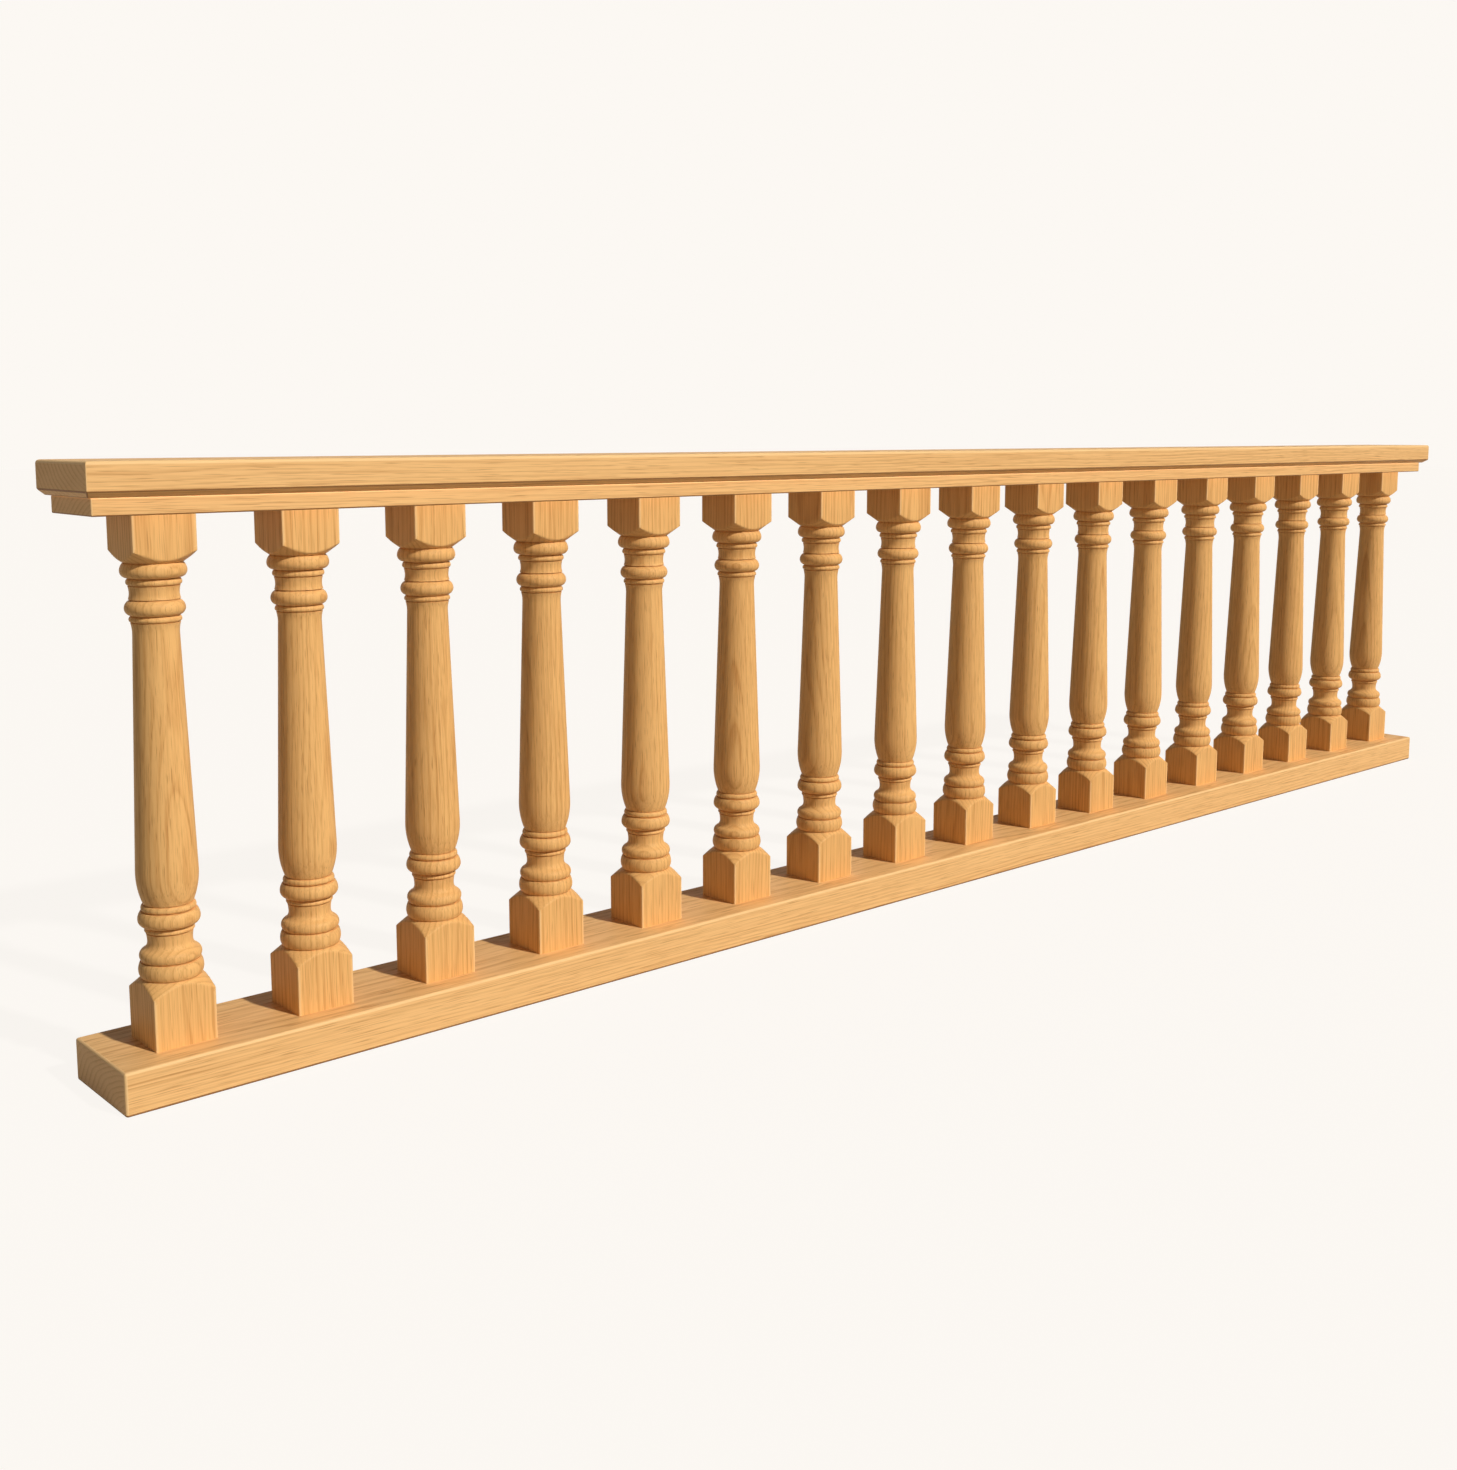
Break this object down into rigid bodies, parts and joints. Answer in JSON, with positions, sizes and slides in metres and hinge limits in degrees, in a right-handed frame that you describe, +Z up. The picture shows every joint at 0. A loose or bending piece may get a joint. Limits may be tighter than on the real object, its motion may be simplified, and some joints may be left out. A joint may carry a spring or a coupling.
{
  "type": "wooden balustrade",
  "caption": "Straight wooden balustrade: a row of turned balusters with square blocks, standing on a plain bottom rail under a bevelled two-piece handrail.",
  "frame": {"origin": "on the floor, in the middle of the bottom rail's underside", "axes": "+X along the rails, +Y across them towards the back, +Z up"},
  "size_m": [3.764, 0.188, 0.9],
  "materials": {
    "oak": "light oak, oiled, satin"
  },
  "bodies": {
    "root": {"bottom_rail": "oak", "baluster_01": "oak", "baluster_02": "oak", "baluster_03": "oak", "baluster_04": "oak", "baluster_05": "oak", "baluster_06": "oak", "baluster_07": "oak", "baluster_08": "oak", "baluster_09": "oak", "baluster_10": "oak", "baluster_11": "oak", "baluster_12": "oak", "baluster_13": "oak", "baluster_14": "oak", "baluster_15": "oak", "baluster_16": "oak", "baluster_17": "oak", "sub_rail": "oak", "cap_rail": "oak"}
  },
  "joints": []
}
